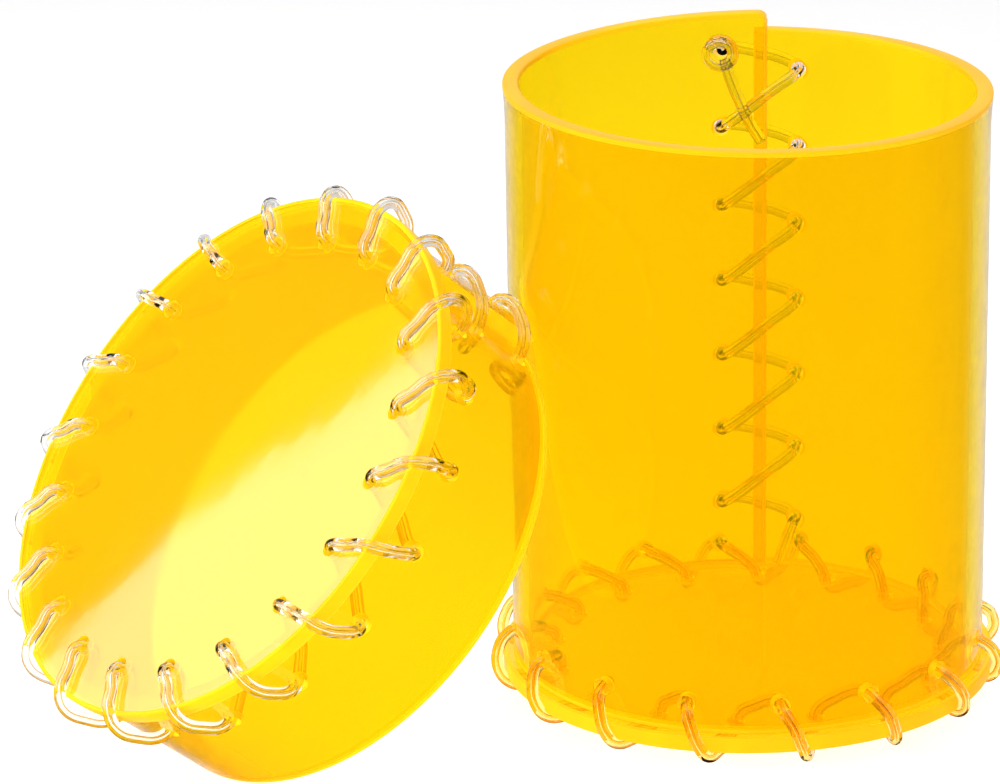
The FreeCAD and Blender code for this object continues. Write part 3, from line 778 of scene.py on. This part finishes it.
def knot_points(piece):
    """One and a third turns of lace round its own end, flat on the flap's inner face."""
    left, _ = seam_faces(piece)
    face = -(left - SHEET)
    points = []
    steps, first, turn_step, climb = 13, 200, 38, 0.9 * LACE
    for step in range(steps):
        turn = math.radians(first + step * turn_step)
        rise = LACE / 2 + step / (steps - 1) * climb
        points.append(Vector((
            -COLUMN + KNOT_RADIUS * math.cos(turn), face + rise,
            -piece["seam_first"] + KNOT_RADIUS * math.sin(turn))))
    return points


# ---------------------------------------------------------------- the pieces, each in its place


def dress(piece, body, node):
    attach(piece, body)
    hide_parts(node)


def make_container(prefix, piece, place, sheet, disc_finish, names):
    """Disc, ring and laces of the cup or the lid."""
    edge = CUT_EDGES[prefix]
    disc = sheet_disc(names["disc"], piece, disc_finish, edge)
    disc = punched(disc, disc_hole_spots(piece), place, edge)
    dress(disc, prefix, names["disc_node"])
    ring = sheet_ring(names["ring"], piece, sheet, edge)
    ring = punched(ring, ring_hole_spots(piece), place @ seam_turn(piece), edge)
    dress(ring, prefix, prefix + "_wall")
    whip = whip_lace(names["whip"], piece, place, 4, names["whip_finish"])
    dress(whip, prefix, names["whip_node"])
    seam = seam_lace(names["seam"], piece, place, names["end"], 7)
    dress(seam, prefix, prefix + "_seam_lace")
    knot = lace_along(names["knot"], knot_points(piece), place @ seam_turn(piece))
    dress(knot, prefix, prefix + "_seam_knot")


make_container("cup", CUP, CUP_PLACE, cup_sheet, base_sheet, dict(
    disc="cup_base_round", disc_node="cup_base_disc", ring="cup_rolled_sheet",
    whip="cup_base_whip_lace", whip_node="cup_base_lace", whip_finish=base_lace,
    seam="cup_seam_zigzag_lace",
    end=(3.9 * MM, -38.2 * MM, -4.8 * MM), knot="cup_lace_knot"))
make_container("lid", LID, LID_PLACE, lid_sheet, lid_disc_sheet, dict(
    disc="lid_round", disc_node="lid_disc", ring="lid_rolled_sheet",
    whip="lid_whip_lace", whip_node="lid_rim_lace", whip_finish=clear_lace,
    seam="lid_seam_zigzag_lace",
    end=(2.4 * MM, -46.65 * MM, -15.0 * MM), knot="lid_lace_knot"))

KNOT_HEIGHT = -CUP["seam_first"]
tail = lace_along("cup_lace_tail", [
    (-6.6 * MM, -37.2 * MM, KNOT_HEIGHT + 1.6 * MM),
    (-5.6 * MM, -36.1 * MM, KNOT_HEIGHT + 4.4 * MM),
    (-3.8 * MM, -35.1 * MM, KNOT_HEIGHT + 8.6 * MM),
    (-2.0 * MM, -34.9 * MM, KNOT_HEIGHT + 12.6 * MM),
    (0.6 * MM, -35.2 * MM, KNOT_HEIGHT + 17.1 * MM),
], CUP_PLACE @ seam_turn(CUP))
dress(tail, "cup", "cup_seam_tail")

# ---------------------------------------------------------------- table, light and camera


def plain_material(name, colour, roughness):
    material, tree, out, shader = principled(name)
    shader.inputs["Base Color"].default_value = colour
    shader.inputs["Roughness"].default_value = roughness
    tree.links.new(shader.outputs[0], out.inputs["Surface"])
    return material


def table_top():
    half = 6.0
    mesh = bpy.data.meshes.new("table_top")
    corners = [(-half, -half, 0), (half, -half, 0), (half, half, 0), (-half, half, 0)]
    mesh.from_pydata(corners, [], [(0, 1, 2, 3)])
    table = plain_material("white_table", (0.9, 0.9, 0.9, 1), 0.6)
    lit = table.node_tree.nodes["Principled BSDF"]
    lit.inputs["Emission Color"].default_value = CLEAR
    lit.inputs["Emission Strength"].default_value = 0.3
    mesh.materials.append(table)
    top = bpy.data.objects.new("table_top", mesh)
    bpy.context.scene.collection.objects.link(top)
    top.visible_glossy = False


def softbox(name, middle, across, up, away, width, height, watts):
    """A soft rectangular light, facing against its away direction."""
    data = bpy.data.lights.new(name, "AREA")
    data.shape, data.size, data.size_y, data.energy = "RECTANGLE", width, height, watts
    light = bpy.data.objects.new(name, data)
    turn = Matrix((across, up, away)).transposed().to_4x4()
    light.matrix_world = Matrix.Translation(middle) @ turn
    bpy.context.scene.collection.objects.link(light)
    return light


def studio_light():
    """White to the eye. The light that it casts comes from the back, and the front is dark."""
    world = bpy.data.worlds.new("white_studio")
    bpy.context.scene.world = world
    world.use_nodes = True
    tree = world.node_tree
    tree.nodes.clear()
    ways = tree.nodes.new("ShaderNodeTexCoord").outputs["Generated"]
    back = put(tree, "ShaderNodeVectorMath", ways, (0.10, 0.99, 0.0), operation="DOT_PRODUCT")
    ramp = put(tree, "ShaderNodeMapRange", back.outputs["Value"], 0.6, 0.9,
               interpolation_type="SMOOTHSTEP")
    ramp.inputs["To Min"].default_value = 0.04
    ramp.inputs["To Max"].default_value = 0.75
    seen = put(tree, "ShaderNodeBackground", (1, 1, 1, 1), 1.0)
    cast = put(tree, "ShaderNodeBackground", (1, 1, 1, 1), ramp.outputs[0])
    eye = tree.nodes.new("ShaderNodeLightPath").outputs["Is Camera Ray"]
    both = put(tree, "ShaderNodeMixShader", eye, cast.outputs[0], seen.outputs[0])
    put(tree, "ShaderNodeOutputWorld", both.outputs[0])


def camera():
    """A long lens from the front, looking down on the pair."""
    yaw, pitch, roll = math.radians(3.125), math.radians(19.312), math.radians(-1.035)
    ahead = Vector((-math.sin(yaw) * math.cos(pitch), math.cos(yaw) * math.cos(pitch),
                    -math.sin(pitch)))
    side = Vector((math.cos(yaw), math.sin(yaw), 0))
    over = side.cross(ahead)
    right = math.cos(roll) * side + math.sin(roll) * over
    data = bpy.data.cameras.new("camera")
    data.lens, data.sensor_width = 169.06, 36.0
    data.clip_start, data.clip_end = 0.05, 50.0
    eye = bpy.data.objects.new("camera", data)
    turn = Matrix((right, right.cross(ahead), -ahead)).transposed().to_4x4()
    eye.matrix_world = Matrix.Translation((-0.99 * MM, -839.35 * MM, 351.1 * MM)) @ turn
    bpy.context.scene.collection.objects.link(eye)
    bpy.context.scene.camera = eye


table_top()
studio_light()
softbox("left_softbox", (-0.781, -0.076, 0.439), (-0.315, -0.900, 0.298),
        (0.4788, 0.1198, 0.8686), (-0.8191, 0.4170, 0.3940), 0.7, 0.7, 6.0)
softbox("top_softbox", (0.1, 0.35, 1.0), (1, 0, 0), (0, 1, 0), (0, 0, 1), 1.6, 1.2, 7.0)
fill = softbox("front_fill", (0.1, -1.3, 0.7), (1, 0, 0), (0, 0.47, 0.88), (0, -0.88, 0.47),
               1.4, 1.0, 16.0)
fill.visible_glossy = fill.visible_transmission = False
camera()
bpy.context.scene.view_settings.view_transform = "Standard"
